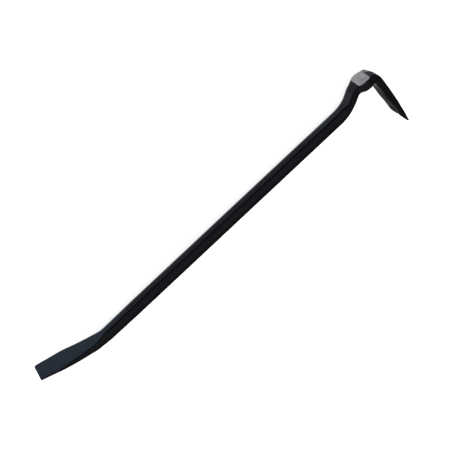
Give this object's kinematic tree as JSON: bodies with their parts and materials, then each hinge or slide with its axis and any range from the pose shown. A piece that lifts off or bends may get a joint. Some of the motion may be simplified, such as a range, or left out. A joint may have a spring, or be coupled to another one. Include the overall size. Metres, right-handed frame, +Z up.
{
  "type": "pry bar",
  "caption": "Gooseneck pry bar forged from octagonal steel bar, with an offset flat chisel, a hooked slotted nail claw and a ground striking flat on its head.",
  "frame": {"origin": "centre of the tool's footprint as it lies on its side, at floor level", "axes": "+X along the shank from the chisel to the claw end, +Y the way the chisel and the neck bend, which is opposite to the claw, +Z up, across the width of the claw"},
  "size_m": [0.607, 0.1456, 0.0324],
  "materials": {
    "black_paint": "semi-gloss black paint over forged steel",
    "ground_steel": "bare steel with fine grinding lines"
  },
  "bodies": {
    "root": {"chisel_blade": "black_paint", "shank": "black_paint", "gooseneck": "black_paint", "claw_head": "black_paint", "striking_face": "ground_steel", "claw_plate": "black_paint", "claw_tine_left": "black_paint", "claw_tine_right": "black_paint"}
  },
  "joints": []
}
